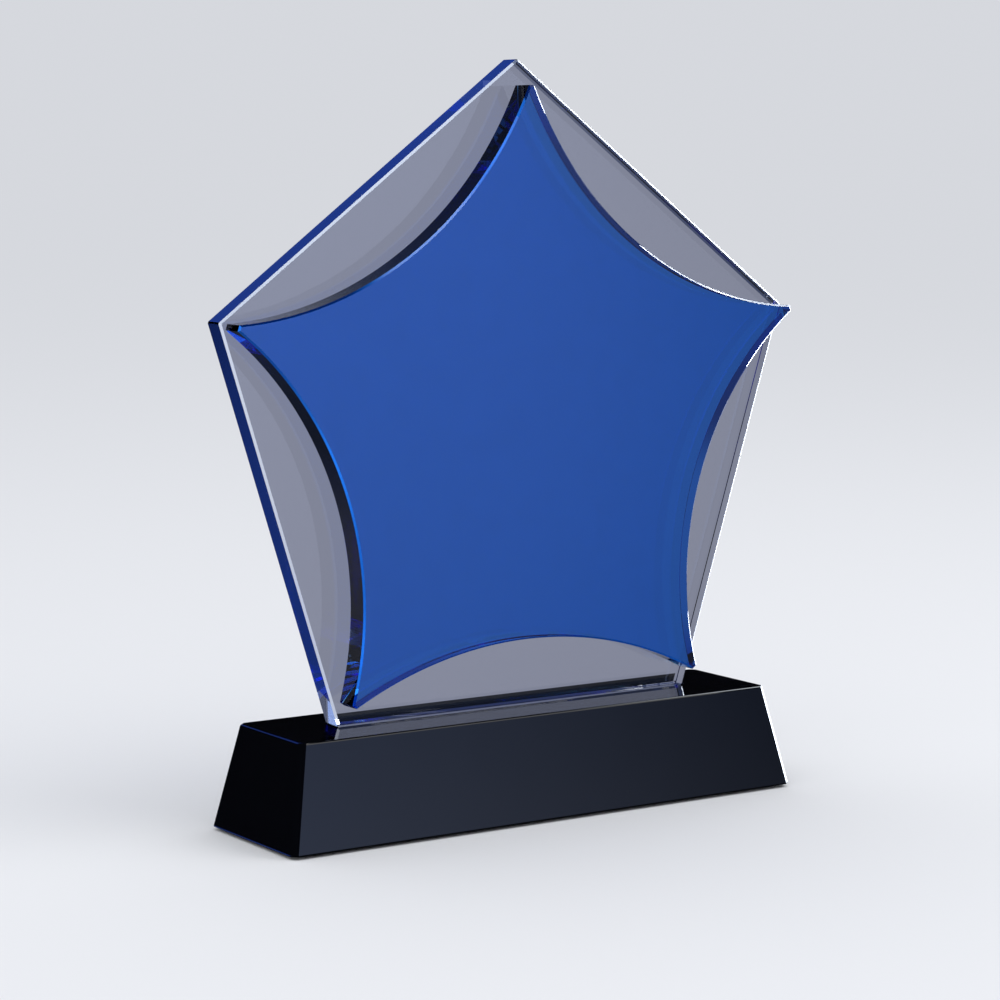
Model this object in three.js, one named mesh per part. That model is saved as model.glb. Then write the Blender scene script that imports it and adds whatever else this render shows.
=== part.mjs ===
// Crystal star award: a clear five-sided plate and a blue five-pointed star on a black base.
// Millimetres, +Z up. The origin is the centre of the underside; -Y is the front.

import * as THREE from 'three';

// Driving dimensions.

const BASE = {
  length: 200,
  depth: 55,
  topLength: 186,
  topDepth: 41.5,
  height: 34.5,
  cornerChamfer: 2,
  edgeChamfer: 0.6,
};
const PAD = { thickness: 1, inset: 3, cornerChamfer: 4 };
const BOND = { thickness: 0.2, inset: 1 };
const PLATE = {
  side: 139,
  thickness: 8.5,
  arris: 0.7,
  // How the upper three corners differ from those of a regular pentagon.
  apexLift: 1,
  shoulderInset: 1,
  shoulderDrop: 0.5,
};
const STAR = {
  thickness: 8.5,
  arris: 0.6,
  tipFlat: 2,
  arcSteps: 18,
  // Each tip is given by its reach and its angle about the centre of the plate.
  topTip: { reach: 110.5, angle: 90 },
  sideTip: { reach: 114.5, angle: 17.7 },
  footTip: { reach: 111.5, angle: -52.2 },
  // How deep each kind of hollow edge is below the line between its two tips.
  upperHollow: 18.6,
  lowerHollow: 19.6,
  footHollow: 16.8,
};

// Levels and places that follow from them.

const PENTAGON_RADIUS = PLATE.side / (2 * Math.sin(Math.PI / 5));
const PENTAGON_APOTHEM = PENTAGON_RADIUS * Math.cos(Math.PI / 5);
const BASE_TOP_Z = PAD.thickness + BASE.height;
const PLATE_FOOT_Z = BASE_TOP_Z + BOND.thickness;
const CENTRE_Z = PLATE_FOOT_Z + PENTAGON_APOTHEM;
const PLATE_BACK_Y = PLATE.thickness / 2;
const PLATE_FRONT_Y = -PLATE.thickness / 2;
const STAR_BACK_Y = PLATE_FRONT_Y - BOND.thickness;

const MATERIALS = {
  clearCrystal: new THREE.MeshStandardMaterial({ color: 0xdde4ec, roughness: 0.03, metalness: 0 }),
  blueCrystal: new THREE.MeshStandardMaterial({ color: 0x2c52a2, roughness: 0.03, metalness: 0 }),
  blackCrystal: new THREE.MeshStandardMaterial({ color: 0x14171f, roughness: 0.06, metalness: 0 }),
  clearAdhesive: new THREE.MeshStandardMaterial({ color: 0xf1f4f6, roughness: 0.1, metalness: 0 }),
  blackFelt: new THREE.MeshStandardMaterial({ color: 0x17181b, roughness: 0.95, metalness: 0 }),
};

// A rectangle with its four corners cut off at 45 degrees, anticlockwise from the right.
function chamferedRectangle(length, depth, chamfer) {
  const x = length / 2;
  const y = depth / 2;
  return [
    new THREE.Vector2(x, -y + chamfer),
    new THREE.Vector2(x, y - chamfer),
    new THREE.Vector2(x - chamfer, y),
    new THREE.Vector2(-x + chamfer, y),
    new THREE.Vector2(-x, y - chamfer),
    new THREE.Vector2(-x, -y + chamfer),
    new THREE.Vector2(-x + chamfer, -y),
    new THREE.Vector2(x - chamfer, -y),
  ];
}

// A closed solid through convex outlines that all have the same number of points.
function loft(sections) {
  const count = sections[0].outline.length;
  const positions = [];
  const indices = [];
  for (const section of sections) {
    for (const point of section.outline) {
      positions.push(point.x, point.y, section.z);
    }
  }
  for (let level = 0; level < sections.length - 1; level += 1) {
    for (let i = 0; i < count; i += 1) {
      const next = (i + 1) % count;
      const low = level * count;
      const high = low + count;
      indices.push(low + i, low + next, high + next);
      indices.push(low + i, high + next, high + i);
    }
  }
  const top = (sections.length - 1) * count;
  for (let i = 1; i < count - 1; i += 1) {
    indices.push(0, i + 1, i);
    indices.push(top, top + i, top + i + 1);
  }
  const geometry = new THREE.BufferGeometry();
  geometry.setAttribute('position', new THREE.Float32BufferAttribute(positions, 3));
  geometry.setIndex(indices);
  geometry.computeVertexNormals();
  return geometry;
}

// An upright slab of the given outline, with a small polished chamfer round both faces.
function slab(outline, thickness, arris) {
  return new THREE.ExtrudeGeometry(new THREE.Shape(outline), {
    depth: thickness - 2 * arris,
    bevelEnabled: true,
    bevelSegments: 1,
    bevelThickness: arris,
    bevelSize: arris,
    bevelOffset: -arris,
  });
}

// A flat film of the given outline, with square edges.
function film(outline, thickness) {
  return new THREE.ExtrudeGeometry(new THREE.Shape(outline), { depth: thickness, bevelEnabled: false });
}

function polar(reach, degrees) {
  const angle = THREE.MathUtils.degToRad(degrees);
  return new THREE.Vector2(reach * Math.cos(angle), reach * Math.sin(angle));
}

// The five corners of the plate about its centre, with one side level at the bottom.
function pentagonOutline(radius) {
  const corners = [];
  for (let i = 0; i < 5; i += 1) {
    corners.push(polar(radius, 90 + i * 72));
  }
  const [apex, leftShoulder, , , rightShoulder] = corners;
  apex.y += PLATE.apexLift;
  leftShoulder.x += PLATE.shoulderInset;
  rightShoulder.x -= PLATE.shoulderInset;
  leftShoulder.y -= PLATE.shoulderDrop;
  rightShoulder.y -= PLATE.shoulderDrop;
  return corners;
}

// The points of a hollow edge between two tips: an arc that bows towards the centre.
function hollowEdge(start, end, hollow, steps) {
  const middle = start.clone().add(end).multiplyScalar(0.5);
  const halfChord = start.distanceTo(end) / 2;
  const radius = (halfChord * halfChord + hollow * hollow) / (2 * hollow);
  const along = end.clone().sub(start).normalize();
  const outward = new THREE.Vector2(along.y, -along.x);
  const arcCentre = middle.clone().addScaledVector(outward, radius - hollow);
  const halfAngle = Math.asin(halfChord / radius);
  const points = [];
  for (let i = 0; i <= steps; i += 1) {
    const angle = halfAngle * ((2 * i) / steps - 1);
    const point = arcCentre.clone();
    point.addScaledVector(along, radius * Math.sin(angle));
    point.addScaledVector(outward, -radius * Math.cos(angle));
    points.push(point);
  }
  return points;
}

// The star: five blunt tips joined by hollow edges, all moved in by the given inset.
function starOutline(inset) {
  const { topTip, sideTip, footTip, upperHollow, lowerHollow, footHollow } = STAR;
  const tips = [
    { ...topTip, hollow: upperHollow },
    { reach: sideTip.reach, angle: 180 - sideTip.angle, hollow: lowerHollow },
    { reach: footTip.reach, angle: 180 - footTip.angle, hollow: footHollow },
    { reach: footTip.reach, angle: 360 + footTip.angle, hollow: lowerHollow },
    { reach: sideTip.reach, angle: 360 + sideTip.angle, hollow: upperHollow },
  ];
  const outline = [];
  tips.forEach((tip, i) => {
    const next = tips[(i + 1) % tips.length];
    const start = polar(tip.reach - inset, tip.angle);
    const end = polar(next.reach - inset, next.angle);
    start.addScaledVector(polar(1, tip.angle + 90), STAR.tipFlat / 2);
    end.addScaledVector(polar(1, next.angle - 90), STAR.tipFlat / 2);
    outline.push(...hollowEdge(start, end, tip.hollow, STAR.arcSteps));
  });
  return outline;
}

const award = new THREE.Group();

// The crystal group stands in the XZ plane about the centre of the plate.
// Its own Z runs towards the front.
const crystal = new THREE.Group();
crystal.position.set(0, 0, CENTRE_Z);
crystal.rotation.x = Math.PI / 2;
award.add(crystal);

function addPiece(parent, name, geometry, material) {
  const mesh = new THREE.Mesh(geometry, material);
  mesh.name = name;
  parent.add(mesh);
  return mesh;
}

function baseSection(z, inset) {
  const share = z / BASE.height;
  const length = THREE.MathUtils.lerp(BASE.length, BASE.topLength, share) - 2 * inset;
  const depth = THREE.MathUtils.lerp(BASE.depth, BASE.topDepth, share) - 2 * inset;
  return { z, outline: chamferedRectangle(length, depth, BASE.cornerChamfer) };
}

// Felt pad stuck under the base.
const padLength = BASE.length - 2 * PAD.inset;
const padDepth = BASE.depth - 2 * PAD.inset;
const padOutline = chamferedRectangle(padLength, padDepth, PAD.cornerChamfer);
addPiece(
  award,
  'felt_pad',
  loft([
    { z: 0, outline: padOutline },
    { z: PAD.thickness, outline: padOutline },
  ]),
  MATERIALS.blackFelt,
);

// Black crystal base with four leaning sides.
const baseBlock = addPiece(
  award,
  'base_block',
  loft([
    baseSection(0, BASE.edgeChamfer),
    baseSection(BASE.edgeChamfer, 0),
    baseSection(BASE.height - BASE.edgeChamfer, 0),
    baseSection(BASE.height, BASE.edgeChamfer),
  ]),
  MATERIALS.blackCrystal,
);
baseBlock.position.z = PAD.thickness;

// Adhesive film between the foot of the plate and the top of the base.
const footFilm = addPiece(
  award,
  'foot_bond_film',
  new THREE.BoxGeometry(
    PLATE.side - 2 * BOND.inset,
    PLATE.thickness - 2 * BOND.inset,
    BOND.thickness,
  ),
  MATERIALS.clearAdhesive,
);
footFilm.position.z = BASE_TOP_Z + BOND.thickness / 2;

// Clear five-sided plate.
const pentagonPlate = addPiece(
  crystal,
  'pentagon_plate',
  slab(pentagonOutline(PENTAGON_RADIUS), PLATE.thickness, PLATE.arris),
  MATERIALS.clearCrystal,
);
pentagonPlate.position.z = PLATE.arris - PLATE_BACK_Y;

// Adhesive film between the plate and the star.
const starFilm = addPiece(
  crystal,
  'star_bond_film',
  film(starOutline(BOND.inset), BOND.thickness),
  MATERIALS.clearAdhesive,
);
starFilm.position.z = -PLATE_FRONT_Y;

// Blue star in front of the plate.
const starPlate = addPiece(
  crystal,
  'star_plate',
  slab(starOutline(0), STAR.thickness, STAR.arris),
  MATERIALS.blueCrystal,
);
starPlate.position.z = STAR.arris - STAR_BACK_Y;

export default award;
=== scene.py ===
"""Crystal star award: a clear five-sided plate and a blue star on a black crystal base.

Metres, +Z up. The origin is the centre of the underside and -Y is the front.
"""

import logging
import math
from dataclasses import dataclass
from enum import Enum

import bmesh
import bpy
from mathutils import Matrix, Vector


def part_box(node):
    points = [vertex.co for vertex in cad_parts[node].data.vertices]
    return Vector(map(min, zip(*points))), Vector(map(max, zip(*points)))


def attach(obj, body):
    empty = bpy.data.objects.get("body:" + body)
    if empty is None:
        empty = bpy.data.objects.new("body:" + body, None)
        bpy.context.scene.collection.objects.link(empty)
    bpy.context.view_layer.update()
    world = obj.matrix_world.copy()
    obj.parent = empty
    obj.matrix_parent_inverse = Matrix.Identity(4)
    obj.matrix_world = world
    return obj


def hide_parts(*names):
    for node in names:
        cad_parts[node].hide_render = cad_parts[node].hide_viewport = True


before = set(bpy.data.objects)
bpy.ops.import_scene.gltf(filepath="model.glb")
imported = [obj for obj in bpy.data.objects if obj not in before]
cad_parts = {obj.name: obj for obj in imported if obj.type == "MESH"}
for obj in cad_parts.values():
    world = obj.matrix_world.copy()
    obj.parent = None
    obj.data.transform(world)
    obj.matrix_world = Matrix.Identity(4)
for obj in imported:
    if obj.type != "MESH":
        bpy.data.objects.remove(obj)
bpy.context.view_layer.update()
BODY = "root"
MM = 0.001
FLAT = 1e-6
# The colour sockets of a Mix node, which has one set for each data type.
MIX_A, MIX_B, MIX_RESULT = 6, 7, 2
LOG = logging.getLogger("award")

Colour = tuple[float, float, float]


class Slot(str, Enum):
    """The record's material slots."""

    CLEAR = "clear_crystal"
    BLUE = "blue_crystal"
    BLACK = "black_crystal"
    ADHESIVE = "clear_adhesive"
    FELT = "black_felt"


class Node(str, Enum):
    """The solids of the award that pieces here are placed from."""

    PAD = "felt_pad"
    BASE = "base_block"
    FOOT_BOND = "foot_bond_film"
    PLATE = "pentagon_plate"
    STAR_BOND = "star_bond_film"
    STAR = "star_plate"


# Node trees


@dataclass
class Shader:
    """A material's or the world's node tree, with short ways to add to it."""

    tree: bpy.types.NodeTree

    def add(self, kind: str, **settings: object) -> bpy.types.Node:
        """Adds a node.

        Args:
            kind: The node's type name.
            **settings: Properties of the node to set.

        Returns:
            The new node.
        """
        node = self.tree.nodes.new(kind)
        for name, value in settings.items():
            setattr(node, name, value)
        return node

    def join(self, source: bpy.types.NodeSocket, target: bpy.types.NodeSocket) -> None:
        """Links one socket to another."""
        self.tree.links.new(source, target)

    def feed(self, target: bpy.types.NodeSocket, value: object) -> None:
        """Gives a socket a link or a plain value.

        Args:
            target: The input socket.
            value: Another socket to link, or the value to set.
        """
        if isinstance(value, bpy.types.NodeSocket):
            self.join(value, target)
        else:
            target.default_value = value

    def maths(self, operation: str, *values: object) -> bpy.types.NodeSocket:
        """Adds a Math node.

        Args:
            operation: The node's operation.
            *values: Sockets or numbers for its inputs, in order.

        Returns:
            The result socket.
        """
        node = self.add("ShaderNodeMath", operation=operation)
        for socket, value in zip(node.inputs, values):
            self.feed(socket, value)
        return node.outputs[0]

    def ramp(
        self, value: object, low: float, high: float, to_low: float, to_high: float
    ) -> bpy.types.NodeSocket:
        """Maps one range of numbers smoothly to another.

        Args:
            value: The socket to map.
            low: The value that gives to_low.
            high: The value that gives to_high.
            to_low: The result at low and below.
            to_high: The result at high and above.

        Returns:
            The result socket.
        """
        node = self.add("ShaderNodeMapRange", interpolation_type="SMOOTHSTEP")
        for name, number in (
            ("Value", value),
            ("From Min", low),
            ("From Max", high),
            ("To Min", to_low),
            ("To Max", to_high),
        ):
            self.feed(node.inputs[name], number)
        return node.outputs["Result"]

    def place(self, stretch: Colour = (1.0, 1.0, 1.0)) -> bpy.types.NodeSocket:
        """Object coordinates, stretched.

        Args:
            stretch: The scale along each axis.

        Returns:
            The coordinate socket.
        """
        where = self.add("ShaderNodeTexCoord")
        mapping = self.add("ShaderNodeMapping")
        mapping.inputs["Scale"].default_value = stretch
        self.join(where.outputs["Object"], mapping.inputs["Vector"])
        return mapping.outputs["Vector"]

    def noise(
        self, scale: float, detail: float = 2.0, stretch: Colour = (1.0, 1.0, 1.0)
    ) -> bpy.types.NodeSocket:
        """A noise pattern over the piece.

        Args:
            scale: The pattern's frequency, per metre.
            detail: How many finer layers it has.
            stretch: The scale along each axis.

        Returns:
            The pattern's value, about 0 to 1.
        """
        node = self.add("ShaderNodeTexNoise")
        self.join(self.place(stretch), node.inputs["Vector"])
        node.inputs["Scale"].default_value = scale
        node.inputs["Detail"].default_value = detail
        return node.outputs["Fac"]

    def bump(
        self,
        height: bpy.types.NodeSocket,
        distance: float,
        strength: object = 1.0,
    ) -> bpy.types.NodeSocket:
        """Turns a height into a normal.

        Args:
            height: The height pattern.
            distance: How high 1.0 stands, in metres.
            strength: A number or socket that fades the bump.

        Returns:
            The normal socket.
        """
        node = self.add("ShaderNodeBump")
        self.join(height, node.inputs["Height"])
        node.inputs["Distance"].default_value = distance
        self.feed(node.inputs["Strength"], strength)
        return node.outputs["Normal"]

    def added(
        self, first: bpy.types.NodeSocket, second: bpy.types.NodeSocket
    ) -> bpy.types.NodeSocket:
        """Adds two colours.

        Args:
            first: One colour's socket.
            second: The other's.

        Returns:
            The sum's socket.
        """
        node = self.add("ShaderNodeVectorMath", operation="ADD")
        self.join(first, node.inputs[0])
        self.join(second, node.inputs[1])
        return node.outputs["Vector"]

    def scaled(self, colour: object, amount: bpy.types.NodeSocket) -> bpy.types.NodeSocket:
        """Multiplies a colour by a number.

        Args:
            colour: The colour or its socket.
            amount: The number's socket.

        Returns:
            The result socket.
        """
        node = self.add("ShaderNodeVectorMath", operation="SCALE")
        self.feed(node.inputs[0], colour)
        self.join(amount, node.inputs["Scale"])
        return node.outputs["Vector"]

    def choose(self, share: bpy.types.NodeSocket, no: object, yes: object) -> bpy.types.NodeSocket:
        """Mixes two colours.

        Args:
            share: 0 for the first colour, 1 for the second.
            no: The first colour or its socket.
            yes: The second colour or its socket.

        Returns:
            The colour socket.
        """
        node = self.add("ShaderNodeMix", data_type="RGBA")
        self.join(share, node.inputs[0])
        self.feed(node.inputs[MIX_A], no)
        self.feed(node.inputs[MIX_B], yes)
        return node.outputs[MIX_RESULT]

    def facing(self, axis: str) -> bpy.types.NodeSocket:
        """How squarely the surface faces along an axis, either way.

        Args:
            axis: X, Y or Z.

        Returns:
            0 for a surface along the axis, 1 for one square to it.
        """
        geometry = self.add("ShaderNodeNewGeometry")
        parts = self.add("ShaderNodeSeparateXYZ")
        self.join(geometry.outputs["True Normal"], parts.inputs[0])
        return self.maths("ABSOLUTE", parts.outputs[axis])


def new_material(name: str) -> tuple[bpy.types.Material, Shader, bpy.types.Node]:
    """Makes an empty node material.

    Args:
        name: The material's name.

    Returns:
        The material, its tree and its output node.
    """
    material = bpy.data.materials.new(name)
    material.use_nodes = True
    material.node_tree.nodes.clear()
    shader = Shader(material.node_tree)
    return material, shader, shader.add("ShaderNodeOutputMaterial")


# Finishes


@dataclass(frozen=True)
class PolishedGlass:
    """Crystal glass, flat-polished on its faces and hand-polished on its edges."""

    name: str
    index: float = 1.52
    passes: Colour = (0.9, 0.95, 1.0)
    depth: float = 4.0
    face_roughness: float = 0.0015
    edge_roughness: float = 0.03
    waviness: float = 0.00001
    haze_scale: float = 240.0
    ripple_scale: float = 90.0

    def material(self) -> bpy.types.Material:
        """The glass, with a colour that deepens with the length of glass looked through.

        Returns:
            The material.
        """
        material, shader, output = new_material(self.name)
        body = shader.add("ShaderNodeBsdfPrincipled")
        body.inputs["Base Color"].default_value = (1.0, 1.0, 1.0, 1.0)
        body.inputs["IOR"].default_value = self.index
        body.inputs["Transmission Weight"].default_value = 1.0
        edge = shader.ramp(shader.facing("Y"), 0.5, 0.9, 1.0, 0.0)
        haze = shader.noise(self.haze_scale, 3.0)
        fine = shader.ramp(haze, 0.35, 0.75, 0.0, self.face_roughness)
        rubbed = shader.ramp(haze, 0.35, 0.75, 0.3 * self.edge_roughness, self.edge_roughness)
        difference = shader.maths("SUBTRACT", rubbed, fine)
        roughness = shader.maths("MULTIPLY_ADD", difference, edge, fine)
        shader.join(roughness, body.inputs["Roughness"])
        ripple = shader.noise(self.ripple_scale, 1.0)
        normal = shader.bump(ripple, self.waviness, edge)
        shader.join(normal, body.inputs["Normal"])
        depth = shader.add("ShaderNodeVolumeAbsorption")
        depth.inputs["Color"].default_value = (*self.passes, 1.0)
        depth.inputs["Density"].default_value = self.depth
        shader.join(body.outputs[0], output.inputs["Surface"])
        shader.join(depth.outputs[0], output.inputs["Volume"])
        return material


@dataclass(frozen=True)
class BlackCrystal:
    """Black glass, so dark that it only shows what its polish reflects."""

    name: str
    colour: Colour = (0.0016, 0.0018, 0.003)
    index: float = 1.52
    roughness: float = 0.02
    haze_scale: float = 160.0
    ripple_scale: float = 28.0
    ripple: float = 0.00004

    def material(self) -> bpy.types.Material:
        """The black glass, with faint polishing haze and a slow ripple.

        Returns:
            The material.
        """
        material, shader, output = new_material(self.name)
        body = shader.add("ShaderNodeBsdfPrincipled")
        body.inputs["Base Color"].default_value = (*self.colour, 1.0)
        body.inputs["IOR"].default_value = self.index
        haze = shader.noise(self.haze_scale, 4.0)
        shader.join(
            shader.ramp(haze, 0.35, 0.7, self.roughness * 0.5, self.roughness * 1.6),
            body.inputs["Roughness"],
        )
        ripple = shader.noise(self.ripple_scale, 1.0)
        shader.join(shader.bump(ripple, self.ripple), body.inputs["Normal"])
        shader.join(body.outputs[0], output.inputs["Surface"])
        return material


@dataclass(frozen=True)
class CuredAdhesive:
    """Clear adhesive that all but vanishes between two pieces of glass."""

    name: str
    index: float = 1.0

    def material(self) -> bpy.types.Material:
        """The adhesive, with hardly any cloud in it.

        Returns:
            The material.
        """
        material, shader, output = new_material(self.name)
        body = shader.add("ShaderNodeBsdfPrincipled")
        body.inputs["IOR"].default_value = self.index
        body.inputs["Roughness"].default_value = 0.0
        body.inputs["Transmission Weight"].default_value = 1.0
        cloud = shader.noise(120.0, 3.0)
        shade = shader.ramp(cloud, 0.3, 0.8, 1.0, 0.97)
        blend = shader.add("ShaderNodeCombineColor")
        for channel in blend.inputs:
            shader.join(shade, channel)
        shader.join(blend.outputs[0], body.inputs["Base Color"])
        shader.join(body.outputs[0], output.inputs["Surface"])
        return material


@dataclass(frozen=True)
class Felt:
    """Pressed wool felt with short crossing fibres."""

    name: str
    colour: Colour = (0.012, 0.012, 0.014)
    fleck: Colour = (0.03, 0.03, 0.034)
    fibre_scale: float = 1500.0
    fibre_stretch: float = 0.18

    def material(self) -> bpy.types.Material:
        """The felt, with fibres of two shades and a nap that catches low light.

        Returns:
            The material.
        """
        material, shader, output = new_material(self.name)
        body = shader.add("ShaderNodeBsdfPrincipled")
        body.inputs["Sheen Weight"].default_value = 0.4
        body.inputs["Sheen Roughness"].default_value = 0.6
        along = shader.noise(self.fibre_scale, 4.0, (1.0, self.fibre_stretch, 1.0))
        across = shader.noise(self.fibre_scale, 4.0, (self.fibre_stretch, 1.0, 1.0))
        fibres = shader.maths("MAXIMUM", along, across)
        flecks = shader.ramp(fibres, 0.45, 0.7, 0.0, 1.0)
        shade = shader.choose(flecks, (*self.colour, 1.0), (*self.fleck, 1.0))
        shader.join(shade, body.inputs["Base Color"])
        shader.join(shader.ramp(fibres, 0.3, 0.8, 0.85, 1.0), body.inputs["Roughness"])
        shader.join(shader.bump(fibres, 0.0002, 0.8), body.inputs["Normal"])
        shader.join(body.outputs[0], output.inputs["Surface"])
        return material


# Mesh making


def flat_edges(bm: bmesh.types.BMesh, level: float) -> list[bmesh.types.BMEdge]:
    """The edges that lie in the plane Y = level.

    Args:
        bm: The mesh.
        level: The plane's Y, in metres.

    Returns:
        The edges.
    """
    return [e for e in bm.edges if all(abs(v.co.y - level) < FLAT for v in e.verts)]


def upright_edges(bm: bmesh.types.BMesh, height: float) -> list[bmesh.types.BMEdge]:
    """The edges of a block that run from its bottom to its top.

    Args:
        bm: The mesh.
        height: The block's height, in metres.

    Returns:
        The edges.
    """
    return [e for e in bm.edges if abs(e.verts[0].co.z - e.verts[1].co.z) > height / 2]


def level_edges(bm: bmesh.types.BMesh, height: float) -> list[bmesh.types.BMEdge]:
    """The edges round a block's top and bottom.

    Args:
        bm: The mesh.
        height: The block's height, in metres.

    Returns:
        The edges.
    """
    return [e for e in bm.edges if abs(e.verts[0].co.z - e.verts[1].co.z) < height / 2]


def block_mesh(low: Vector, high: Vector) -> bmesh.types.BMesh:
    """Makes a plain block.

    Args:
        low: Its lowest corner.
        high: Its highest corner.

    Returns:
        The mesh.
    """
    bm = bmesh.new()
    bmesh.ops.create_cube(bm, size=1.0)
    bmesh.ops.scale(bm, vec=high - low, verts=bm.verts[:])
    bmesh.ops.translate(bm, vec=(low + high) / 2, verts=bm.verts[:])
    return bm


def soften(
    bm: bmesh.types.BMesh, edges: list[bmesh.types.BMEdge], width: float, segments: int = 1
) -> None:
    """Bevels edges.

    Args:
        bm: The mesh.
        edges: The edges to bevel.
        width: The bevel's width on each face, in metres.
        segments: How many strips it has.
    """
    bmesh.ops.bevel(
        bm,
        geom=edges,
        offset=width,
        offset_type="OFFSET",
        segments=segments,
        profile=0.5,
        affect="EDGES",
        clamp_overlap=True,
        material=-1,
    )


def thicken(bm: bmesh.types.BMesh, outline: list[bmesh.types.BMEdge], travel: Vector) -> None:
    """Fills a closed outline and draws it out into a solid.

    Args:
        bm: The mesh.
        outline: The outline's edges.
        travel: How far and which way to draw it out.
    """
    bmesh.ops.contextual_create(bm, geom=outline)
    grown = bmesh.ops.extrude_face_region(bm, geom=bm.faces[:])["geom"]
    moved = [g for g in grown if isinstance(g, bmesh.types.BMVert)]
    bmesh.ops.translate(bm, vec=travel, verts=moved)
    bmesh.ops.recalc_face_normals(bm, faces=bm.faces[:])


def finished_piece(
    bm: bmesh.types.BMesh,
    name: str,
    material: bpy.types.Material,
    nodes: tuple[Node, ...],
    crisp: float = 16.0,
) -> bpy.types.Object:
    """Makes an object of a mesh and ties it to the award.

    Args:
        bm: The mesh, in its place. It is freed.
        name: The piece's name.
        material: Its finish.
        nodes: The solids that the piece stands for.
        crisp: Edges that turn by more than this many degrees stay sharp.

    Returns:
        The object.
    """
    bmesh.ops.recalc_face_normals(bm, faces=bm.faces[:])
    for face in bm.faces:
        face.smooth = True
    for edge in bm.edges:
        edge.smooth = edge.calc_face_angle(math.pi) < math.radians(crisp)
    mesh = bpy.data.meshes.new(name)
    bm.to_mesh(mesh)
    bm.free()
    piece = bpy.data.objects.new(name, mesh)
    bpy.context.scene.collection.objects.link(piece)
    mesh.materials.append(material)
    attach(piece, BODY)
    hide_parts(*(node.value for node in nodes))
    LOG.info("%s: %d faces", name, len(mesh.polygons))
    return piece


# The base


@dataclass
class AwardBase:
    """The black block that leans in on all four sides, and the felt under it."""

    corner_chamfer: float = 2.0 * MM
    rim_width: float = 0.6 * MM
    top_length: float = 186.0 * MM
    top_depth: float = 41.5 * MM
    rim_strips: int = 3
    crisp: float = 12.0
    felt_corner: float = 4.0 * MM
    felt_corner_strips: int = 5
    felt_rim: float = 0.25 * MM
    felt_rim_strips: int = 2
    felt_crisp: float = 40.0
    crystal: BlackCrystal = BlackCrystal("black_crystal_polished")
    felt: Felt = Felt("black_felt_nap")

    def block(self) -> bpy.types.Object:
        """The block: a box whose top is drawn in, with cut corners and fine polished rims.

        Returns:
            The piece.
        """
        low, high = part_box(Node.BASE.value)
        size = high - low
        bm = block_mesh(low, high)
        top = [v for v in bm.verts if v.co.z > (low.z + high.z) / 2]
        bmesh.ops.scale(bm, vec=(self.top_length / size.x, self.top_depth / size.y, 1.0), verts=top)
        soften(bm, upright_edges(bm, size.z), self.corner_chamfer)
        soften(bm, level_edges(bm, size.z), self.rim_width, self.rim_strips)
        return finished_piece(
            bm, "base_crystal", self.crystal.material(), (Node.BASE,), self.crisp
        )

    def pad(self) -> bpy.types.Object:
        """The felt: a thin sheet with round corners and a slightly soft rim.

        Returns:
            The piece.
        """
        low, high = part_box(Node.PAD.value)
        thickness = high.z - low.z
        bm = block_mesh(low, high)
        soften(bm, upright_edges(bm, thickness), self.felt_corner, self.felt_corner_strips)
        soften(bm, level_edges(bm, thickness), self.felt_rim, self.felt_rim_strips)
        return finished_piece(
            bm, "felt_sheet", self.felt.material(), (Node.PAD,), self.felt_crisp
        )

    def build(self) -> list[bpy.types.Object]:
        """Both pieces of the base."""
        return [self.block(), self.pad()]


# The crystals


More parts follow.
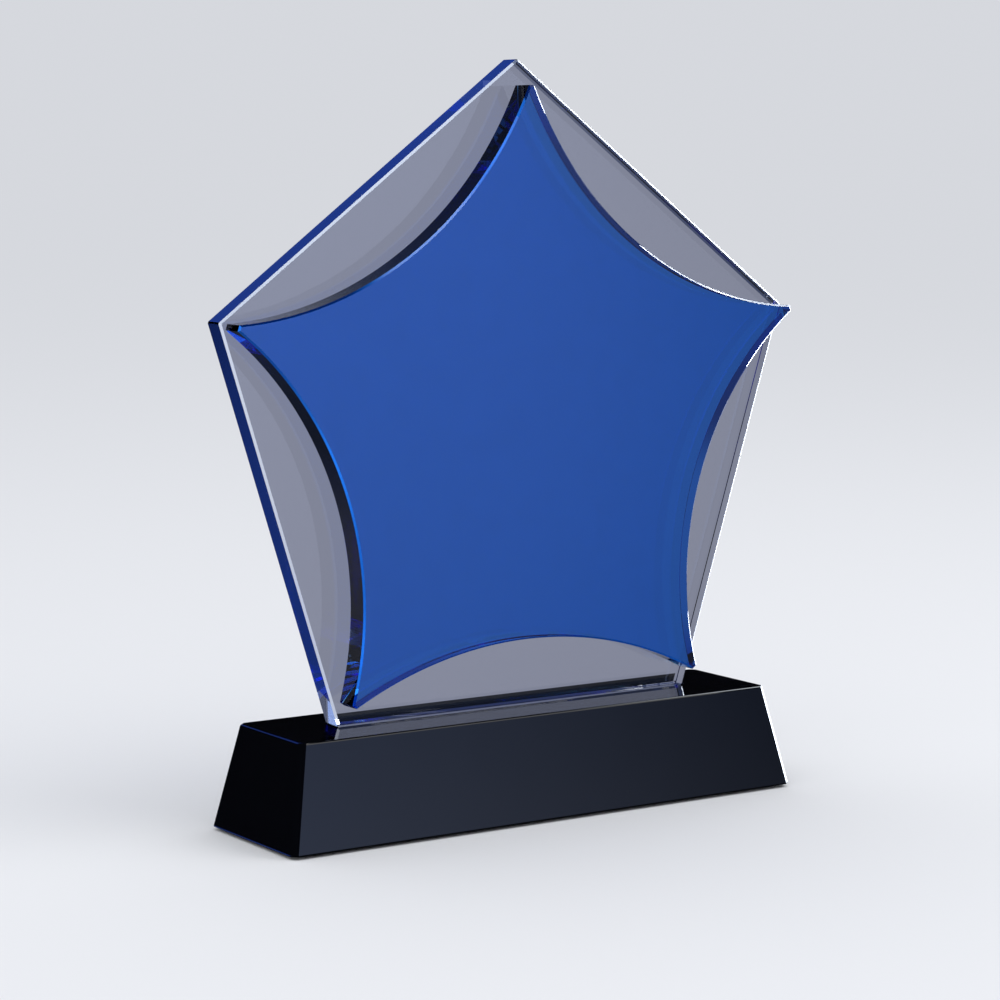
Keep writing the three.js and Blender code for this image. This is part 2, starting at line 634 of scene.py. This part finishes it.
@dataclass(frozen=True)
class ClearPlate:
    """The clear five-sided plate that stands on the base."""

    sides: int = 5
    apex_lift: float = 1.0 * MM
    shoulder_inset: float = 1.0 * MM
    shoulder_drop: float = 0.5 * MM
    rim_width: float = 0.7 * MM
    corner_width: float = 0.4 * MM
    sink: float = 0.02 * MM
    glass: PolishedGlass = PolishedGlass(
        "clear_crystal_polished", passes=(0.72, 0.78, 0.9), depth=6.0
    )

    def radius(self) -> float:
        """The distance from the plate's centre to its lower corners."""
        low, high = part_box(Node.PLATE.value)
        return (high.z - low.z - self.apex_lift) / (1.0 + math.cos(math.pi / self.sides))

    def centre(self, level: float) -> Vector:
        """The plate's centre at a given Y."""
        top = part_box(Node.PLATE.value)[1].z - self.apex_lift
        return Vector((0.0, level, top - self.radius()))

    def plate(self) -> bpy.types.Object:
        """The plate, with one side level at the bottom and a narrow polished rim.

        Returns:
            The piece.
        """
        low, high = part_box(Node.PLATE.value)
        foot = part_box(Node.BASE.value)[1].z - self.sink
        radius = self.radius()
        centre = self.centre(low.y)
        bm = bmesh.new()
        bmesh.ops.create_circle(bm, cap_ends=True, segments=self.sides, radius=radius)
        stand = Matrix.Rotation(math.pi / 2, 3, "X")
        bmesh.ops.rotate(bm, cent=(0, 0, 0), matrix=stand, verts=bm.verts[:])
        peak = max(bm.verts, key=lambda v: v.co.z).co
        turn = Matrix.Rotation(-math.atan2(peak.x, peak.z), 3, "Y")
        bmesh.ops.rotate(bm, cent=(0, 0, 0), matrix=turn, verts=bm.verts[:])
        apex_level = peak.z - MM
        for vertex in bm.verts:
            spot = vertex.co
            if spot.z > apex_level:
                spot.z += self.apex_lift
            elif spot.z > 0.0:
                spot.z -= self.shoulder_drop
                spot.x -= math.copysign(self.shoulder_inset, spot.x)
        bmesh.ops.translate(bm, vec=centre, verts=bm.verts[:])
        grown = bmesh.ops.extrude_face_region(bm, geom=bm.faces[:])["geom"]
        moved = [g for g in grown if isinstance(g, bmesh.types.BMVert)]
        bmesh.ops.translate(bm, vec=(0.0, high.y - low.y, 0.0), verts=moved)
        for vertex in bm.verts:
            if vertex.co.z < low.z + MM:
                vertex.co.z = foot
        bmesh.ops.recalc_face_normals(bm, faces=bm.faces[:])
        uprights = [e for e in bm.edges if abs(e.verts[0].co.y - e.verts[1].co.y) > MM]
        soften(bm, uprights, self.corner_width)
        rims = flat_edges(bm, low.y) + flat_edges(bm, high.y)
        soften(bm, rims, self.rim_width)
        return finished_piece(bm, "clear_plate", self.glass.material(), (Node.PLATE,))

    def build(self) -> list[bpy.types.Object]:
        """The plate alone."""
        return [self.plate()]


@dataclass(frozen=True)
class Tip:
    """One tip of the star, by its reach and its angle about the plate's centre."""

    reach: float
    degrees: float

    def point(self, aside: float, inset: float = 0.0) -> Vector:
        """A point beside the tip's middle.

        Args:
            aside: How far anticlockwise of the middle it is.
            inset: How far inside the tip's end it is.

        Returns:
            The point, in the XZ plane about the plate's centre.
        """
        angle = math.radians(self.degrees)
        outward = Vector((math.cos(angle), 0.0, math.sin(angle)))
        along = Vector((-math.sin(angle), 0.0, math.cos(angle)))
        return outward * (self.reach - inset) + along * aside


@dataclass
class BlueStar:
    """The blue star with hollow edges on the front of the clear plate."""

    stand: ClearPlate = ClearPlate()
    tips: tuple[Tip, ...] = (
        Tip(110.5 * MM, 90.0),
        Tip(114.5 * MM, 162.3),
        Tip(111.5 * MM, 232.2),
        Tip(111.5 * MM, 307.8),
        Tip(114.5 * MM, 377.7),
    )
    hollows: tuple[float, ...] = (18.6 * MM, 19.6 * MM, 16.8 * MM, 19.6 * MM, 18.6 * MM)
    tip_flat: float = 2.0 * MM
    arc_steps: int = 40
    rim_width: float = 0.6 * MM
    back_rim: float = 0.25 * MM
    sink: float = 0.05 * MM
    film_inset: float = 1.0 * MM
    film_clearance: float = 0.02 * MM
    glass: PolishedGlass = PolishedGlass(
        "blue_crystal_polished", passes=(0.125, 0.675, 0.99), depth=400.0
    )
    adhesive: CuredAdhesive = CuredAdhesive("adhesive_cured")

    def outline(self, bm: bmesh.types.BMesh, level: float, inset: float = 0.0) -> None:
        """Draws the star's outline: an arc swung from each tip to the next.

        Args:
            bm: An empty mesh.
            level: The outline's Y.
            inset: How far inside the star's own outline it is.
        """
        centre = self.stand.centre(level)
        half = self.tip_flat / 2
        pen = bm.verts.new(centre + self.tips[0].point(half, inset))
        for number, tip in enumerate(self.tips):
            following = self.tips[(number + 1) % len(self.tips)]
            start = tip.point(half, inset)
            end = following.point(-half, inset)
            middle = (start + end) / 2
            half_chord = (end - start).length / 2
            hollow = self.hollows[number]
            radius = (half_chord**2 + hollow**2) / (2 * hollow)
            outward = Vector((end.z - start.z, 0.0, start.x - end.x)).normalized()
            pivot = middle + outward * (radius - hollow)
            swing = 2 * math.asin(half_chord / radius)
            swung = bmesh.ops.spin(
                bm,
                geom=[pen],
                cent=centre + pivot,
                axis=(0.0, 1.0, 0.0),
                dvec=(0.0, 0.0, 0.0),
                angle=swing,
                steps=self.arc_steps,
                use_merge=False,
                use_normal_flip=False,
                use_duplicate=False,
            )["geom_last"]
            pen = next(g for g in swung if isinstance(g, bmesh.types.BMVert))
            flat = bmesh.ops.extrude_vert_indiv(bm, verts=[pen])["verts"]
            pen = flat[0]
            pen.co = centre + following.point(half, inset)
        bmesh.ops.remove_doubles(bm, verts=bm.verts[:], dist=0.01 * MM)

    def star(self) -> bpy.types.Object:
        """The star, sunk a hair into the plate so that no air shows between them.

        Returns:
            The piece.
        """
        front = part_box(Node.STAR.value)[0].y
        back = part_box(Node.PLATE.value)[0].y + self.sink
        bm = bmesh.new()
        self.outline(bm, front)
        thicken(bm, bm.edges[:], Vector((0.0, back - front, 0.0)))
        soften(bm, flat_edges(bm, front), self.rim_width)
        soften(bm, flat_edges(bm, back), self.back_rim)
        return finished_piece(bm, "blue_star", self.glass.material(), (Node.STAR,))

    def film(self) -> bpy.types.Object:
        """The adhesive between the star and the plate.

        Returns:
            The piece.
        """
        low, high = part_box(Node.STAR_BOND.value)
        front, back = low.y + self.film_clearance, high.y - self.film_clearance
        bm = bmesh.new()
        self.outline(bm, front, self.film_inset)
        thicken(bm, bm.edges[:], Vector((0.0, back - front, 0.0)))
        return finished_piece(
            bm, "star_bond", self.adhesive.material(), (Node.STAR_BOND,)
        )

    def foot_film(self) -> bpy.types.Object:
        """The adhesive between the plate's foot and the base.

        Returns:
            The piece.
        """
        low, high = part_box(Node.FOOT_BOND.value)
        gap = Vector((0.0, 0.0, self.film_clearance))
        bm = block_mesh(low + gap, high - gap)
        return finished_piece(
            bm, "foot_bond", self.adhesive.material(), (Node.FOOT_BOND,)
        )

    def build(self) -> list[bpy.types.Object]:
        """The star and both films of adhesive."""
        return [self.star(), self.film(), self.foot_film()]


# The studio


@dataclass(frozen=True)
class Softbox:
    """A square lamp behind a diffusing sheet."""

    name: str
    azimuth: float
    elevation: float
    distance: float
    width: float
    height: float
    power: float
    colour: Colour = (1.0, 1.0, 1.0)

    def hang(self, aim: Vector) -> None:
        """Hangs the lamp round a point and turns it to face it.

        Args:
            aim: The point.
        """
        lamp = bpy.data.lights.new(self.name, "AREA")
        lamp.shape = "RECTANGLE"
        lamp.size, lamp.size_y = self.width, self.height
        lamp.energy = self.power
        lamp.color = self.colour
        holder = bpy.data.objects.new(self.name, lamp)
        bpy.context.scene.collection.objects.link(holder)
        away = direction(self.azimuth, self.elevation)
        holder.location = aim + away * self.distance
        holder.rotation_euler = (-away).to_track_quat("-Z", "Y").to_euler()


def direction(azimuth: float, elevation: float) -> Vector:
    """The direction from the award towards a place round it.

    Args:
        azimuth: Degrees round from the front, rising towards the award's right.
        elevation: Degrees above the horizon.

    Returns:
        A unit vector.
    """
    a, e = math.radians(azimuth), math.radians(elevation)
    return Vector((math.sin(a) * math.cos(e), -math.cos(a) * math.cos(e), math.sin(e)))


@dataclass(frozen=True)
class Glow:
    """A soft round patch of light in the dark surroundings."""

    azimuth: float
    elevation: float
    core: float
    fade: float
    colour: Colour

    def light(self, shader: Shader, ray: bpy.types.NodeSocket) -> bpy.types.NodeSocket:
        """The patch's light along a ray.

        Args:
            shader: The tree to add to.
            ray: The ray's direction.

        Returns:
            The light's colour socket.
        """
        dot = shader.add("ShaderNodeVectorMath", operation="DOT_PRODUCT")
        shader.join(ray, dot.inputs[0])
        dot.inputs[1].default_value = direction(self.azimuth, self.elevation)
        angle = shader.maths("ARCCOSINE", dot.outputs["Value"])
        amount = shader.ramp(angle, math.radians(self.core), math.radians(self.fade), 1.0, 0.0)
        return shader.scaled(self.colour, amount)


@dataclass
class Studio:
    """A pale floor, soft light and the camera."""

    floor_radius: float = 30.0
    floor_colour: Colour = (0.78, 0.79, 0.81)
    daylight: Colour = (0.86, 0.87, 0.9)
    dark: Colour = (0.002, 0.002, 0.003)
    backdrop: Colour = (0.22, 0.235, 0.31)
    above: Colour = (0.045, 0.06, 0.12)
    backdrop_top: float = 14.0
    backdrop_end: float = 30.0
    glows: tuple[Glow, ...] = (
        Glow(18.0, 12.0, 4.0, 28.0, (0.41, 0.58, 1.08)),
        Glow(28.0, -4.0, 5.0, 17.0, (0.4, 0.42, 0.5)),
    )
    rim_lamps: tuple[Glow, ...] = (
        Glow(92.0, 42.0, 8.0, 15.0, (8.0, 8.6, 9.2)),
        Glow(103.0, 26.0, 8.0, 14.0, (7.0, 7.5, 8.0)),
        Glow(112.0, 10.0, 8.0, 15.0, (7.0, 7.6, 8.6)),
        Glow(121.0, -5.0, 8.0, 13.0, (6.0, 6.6, 7.6)),
        Glow(120.0, -20.0, 8.0, 13.0, (6.0, 6.6, 7.6)),
        Glow(-24.0, 64.0, 8.0, 16.0, (3.0, 3.6, 4.4)),
        Glow(175.0, 34.0, 8.0, 20.0, (0.07, 0.2, 1.2)),
        Glow(-155.0, -26.0, 5.0, 12.0, (0.07, 0.2, 1.2)),
    )
    # The share of the rim lamps' light that is seen through glass, not only in its polish.
    lamps_through: float = 0.06
    camera_azimuth: float = -33.6
    camera_elevation: float = 6.7
    camera_distance: float = 0.9867
    camera_aim: tuple[float, float, float] = (-0.00415, 0.0, 0.1049)
    lens: float = 106.5
    bounces: int = 24
    mirror_bounces: int = 12
    clear_bounces: int = 16
    boxes: tuple[Softbox, ...] = (
        Softbox("softbox_key", 40.0, 50.0, 1.6, 1.2, 1.2, 7.0),
        Softbox("softbox_fill", -70.0, 60.0, 1.8, 1.0, 1.0, 3.0),
    )

    def floor(self) -> None:
        """The floor, which is not part of the award and which the glass does not show."""
        bm = bmesh.new()
        bmesh.ops.create_circle(bm, cap_ends=True, segments=96, radius=self.floor_radius)
        mesh = bpy.data.meshes.new("studio_floor")
        bm.to_mesh(mesh)
        bm.free()
        floor = bpy.data.objects.new("studio_floor", mesh)
        bpy.context.scene.collection.objects.link(floor)
        floor.visible_glossy = False
        floor.visible_transmission = False
        material, shader, output = new_material("studio_floor_paper")
        body = shader.add("ShaderNodeBsdfDiffuse")
        body.inputs["Color"].default_value = (*self.floor_colour, 1.0)
        shader.join(body.outputs[0], output.inputs["Surface"])
        mesh.materials.append(material)

    def sky(self) -> None:
        """The surroundings: pale to the eye, and to the glass a dark room with soft lamps."""
        world = bpy.data.worlds.new("studio_sky")
        bpy.context.scene.world = world
        world.use_nodes = True
        world.cycles.sampling_method = "NONE"
        world.node_tree.nodes.clear()
        shader = Shader(world.node_tree)
        output = shader.add("ShaderNodeOutputWorld")
        path = shader.add("ShaderNodeLightPath")
        ray = shader.add("ShaderNodeTexCoord").outputs["Generated"]
        parts = shader.add("ShaderNodeSeparateXYZ")
        shader.join(ray, parts.inputs[0])
        height = shader.maths("ABSOLUTE", parts.outputs["Z"])
        top, end = (math.sin(math.radians(a)) for a in (self.backdrop_top, self.backdrop_end))
        beyond = shader.ramp(height, top, end, 0.0, 1.0)
        mirrored = path.outputs["Is Reflection Ray"]
        scattered = path.outputs["Is Diffuse Ray"]
        through = shader.choose(beyond, (*self.backdrop, 1.0), (*self.above, 1.0))
        seen = shader.choose(mirrored, through, (*self.dark, 1.0))
        for glow in self.glows:
            seen = shader.added(seen, glow.light(shader, ray))
        lamps = self.rim_lamps[0].light(shader, ray)
        for lamp in self.rim_lamps[1:]:
            lamps = shader.added(lamps, lamp.light(shader, ray))
        share = shader.maths("MAXIMUM", mirrored, self.lamps_through)
        seen = shader.added(seen, shader.scaled(lamps, share))
        even = shader.maths("MAXIMUM", path.outputs["Is Camera Ray"], scattered)
        paper = tuple(a * b for a, b in zip(self.floor_colour, self.daylight))
        pale = shader.choose(scattered, (*paper, 1.0), (*self.daylight, 1.0))
        background = shader.add("ShaderNodeBackground")
        shader.join(shader.choose(even, seen, pale), background.inputs["Color"])
        shader.join(background.outputs[0], output.inputs["Surface"])

    def camera(self) -> None:
        """The camera, a little above the award and to its left."""
        lens = bpy.data.cameras.new("studio_camera")
        lens.lens = self.lens
        lens.sensor_width = 36.0
        lens.clip_start, lens.clip_end = 0.01, 100.0
        holder = bpy.data.objects.new("studio_camera", lens)
        bpy.context.scene.collection.objects.link(holder)
        away = direction(self.camera_azimuth, self.camera_elevation)
        holder.location = Vector(self.camera_aim) + away * self.camera_distance
        holder.rotation_euler = (-away).to_track_quat("-Z", "Y").to_euler()
        bpy.context.scene.camera = holder

    def build(self) -> None:
        """Everything round the award."""
        self.floor()
        self.sky()
        self.camera()
        aim = Vector(self.camera_aim)
        for box in self.boxes:
            box.hang(aim)
        scene = bpy.context.scene
        scene.view_settings.view_transform = "Standard"
        scene.cycles.max_bounces = self.bounces
        scene.cycles.transmission_bounces = self.bounces
        scene.cycles.glossy_bounces = self.mirror_bounces
        scene.cycles.transparent_max_bounces = self.clear_bounces


def main() -> None:
    """Builds the studio and the award."""
    logging.basicConfig(level=logging.INFO, format="%(name)s: %(message)s")
    Studio().build()
    for part in (AwardBase(), ClearPlate(), BlueStar()):
        pieces = part.build()
        LOG.info("%s: %s", type(part).__name__, ", ".join(p.name for p in pieces))


if __name__ == "__main__":
    main()
